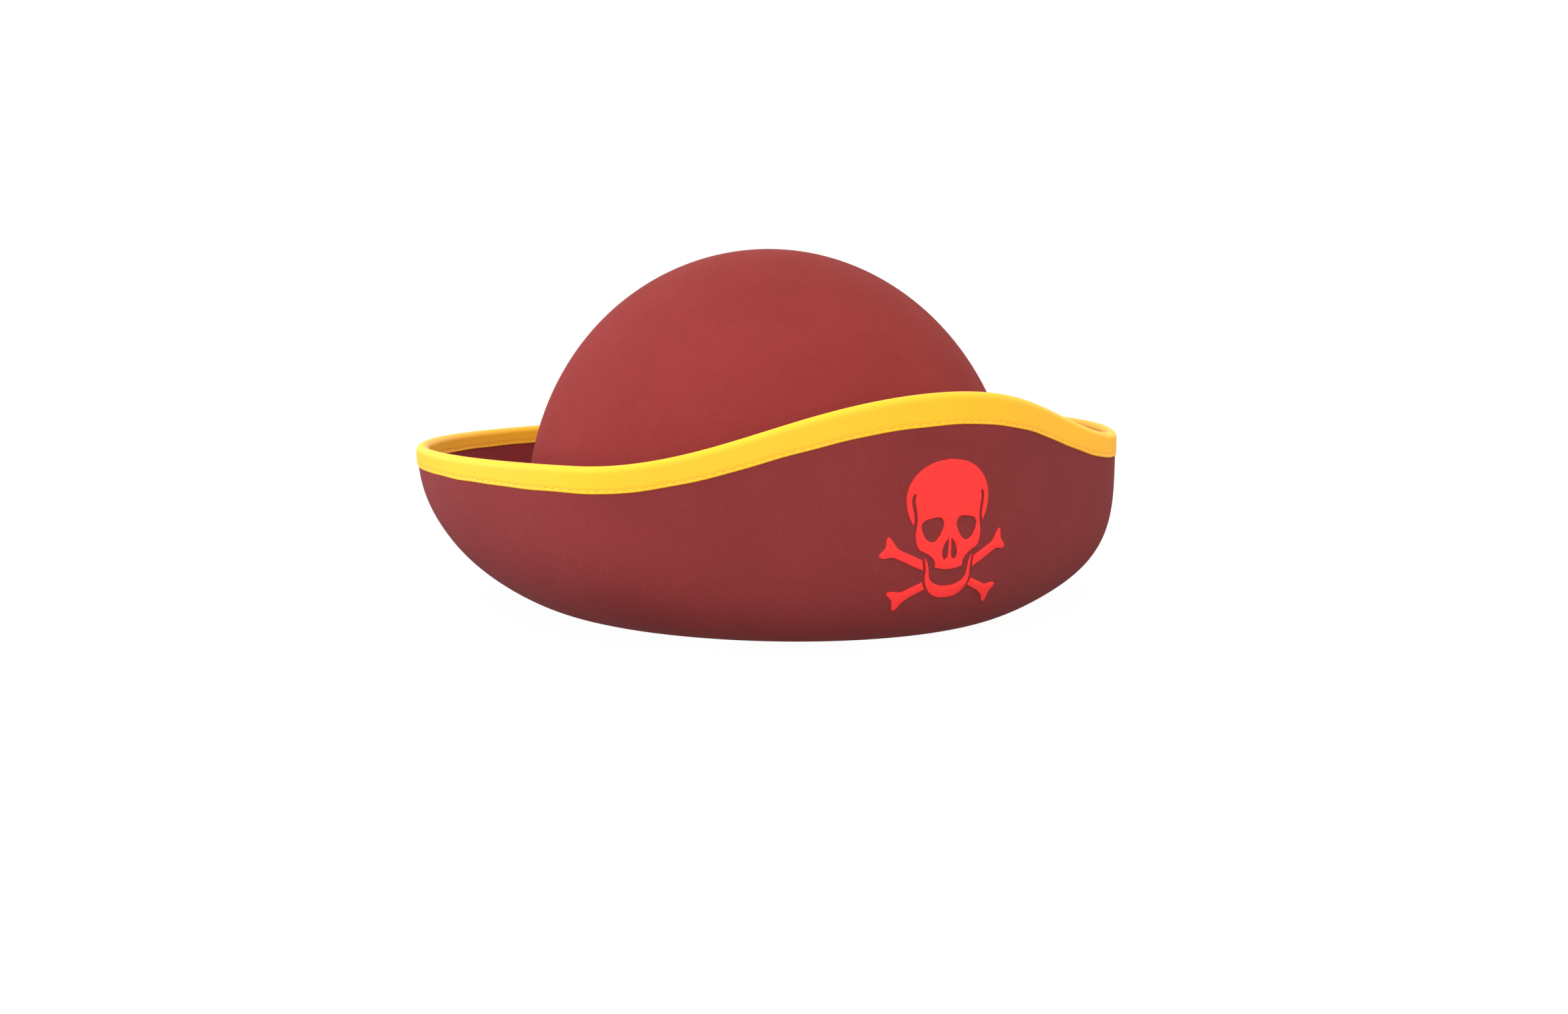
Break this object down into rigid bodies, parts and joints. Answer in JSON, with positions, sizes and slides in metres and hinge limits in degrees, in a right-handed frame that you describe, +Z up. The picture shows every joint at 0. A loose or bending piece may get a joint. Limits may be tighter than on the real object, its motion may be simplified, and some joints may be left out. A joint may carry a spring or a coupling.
{
  "type": "costume pirate hat",
  "caption": "Felt costume pirate hat with a round domed crown, an upturned brim peaked at the front, gold edge binding and a skull-and-crossbones emblem.",
  "frame": {"origin": "middle of the head opening, in the plane that the hat rests on", "axes": "+Z up through the crown, -Y towards the front with the emblem, +X and -X towards the sides"},
  "size_m": [0.2726, 0.2637, 0.133],
  "materials": {
    "crown_felt": "smooth dark red wool felt",
    "brim_felt": "smooth dark red wool felt",
    "brim_lining_felt": "thin dark red felt",
    "buckram": "open-weave stiffened cotton",
    "gold_ribbon": "fine ribbed golden-yellow ribbon",
    "sweatband_ribbon": "dark maroon grosgrain ribbon",
    "lining_satin": "dark red satin",
    "emblem_felt": "bright red felt",
    "wire_steel": "drawn",
    "joiner_brass": "crimped"
  },
  "bodies": {
    "root": {"crown": "crown_felt", "lining_front": "lining_satin", "lining_back": "lining_satin", "lining_left": "lining_satin", "lining_right": "lining_satin", "lining_tip": "lining_satin", "brim_outer_felt": "brim_felt", "brim_stiffener": "buckram", "brim_inner_felt": "brim_lining_felt", "brim_wire": "wire_steel", "wire_joiner": "joiner_brass", "edge_binding": "gold_ribbon", "sweatband": "sweatband_ribbon", "skull": "emblem_felt", "jaw": "emblem_felt", "bone_upper_left": "emblem_felt", "bone_upper_right": "emblem_felt", "bone_lower_left": "emblem_felt", "bone_lower_right": "emblem_felt"}
  },
  "joints": []
}
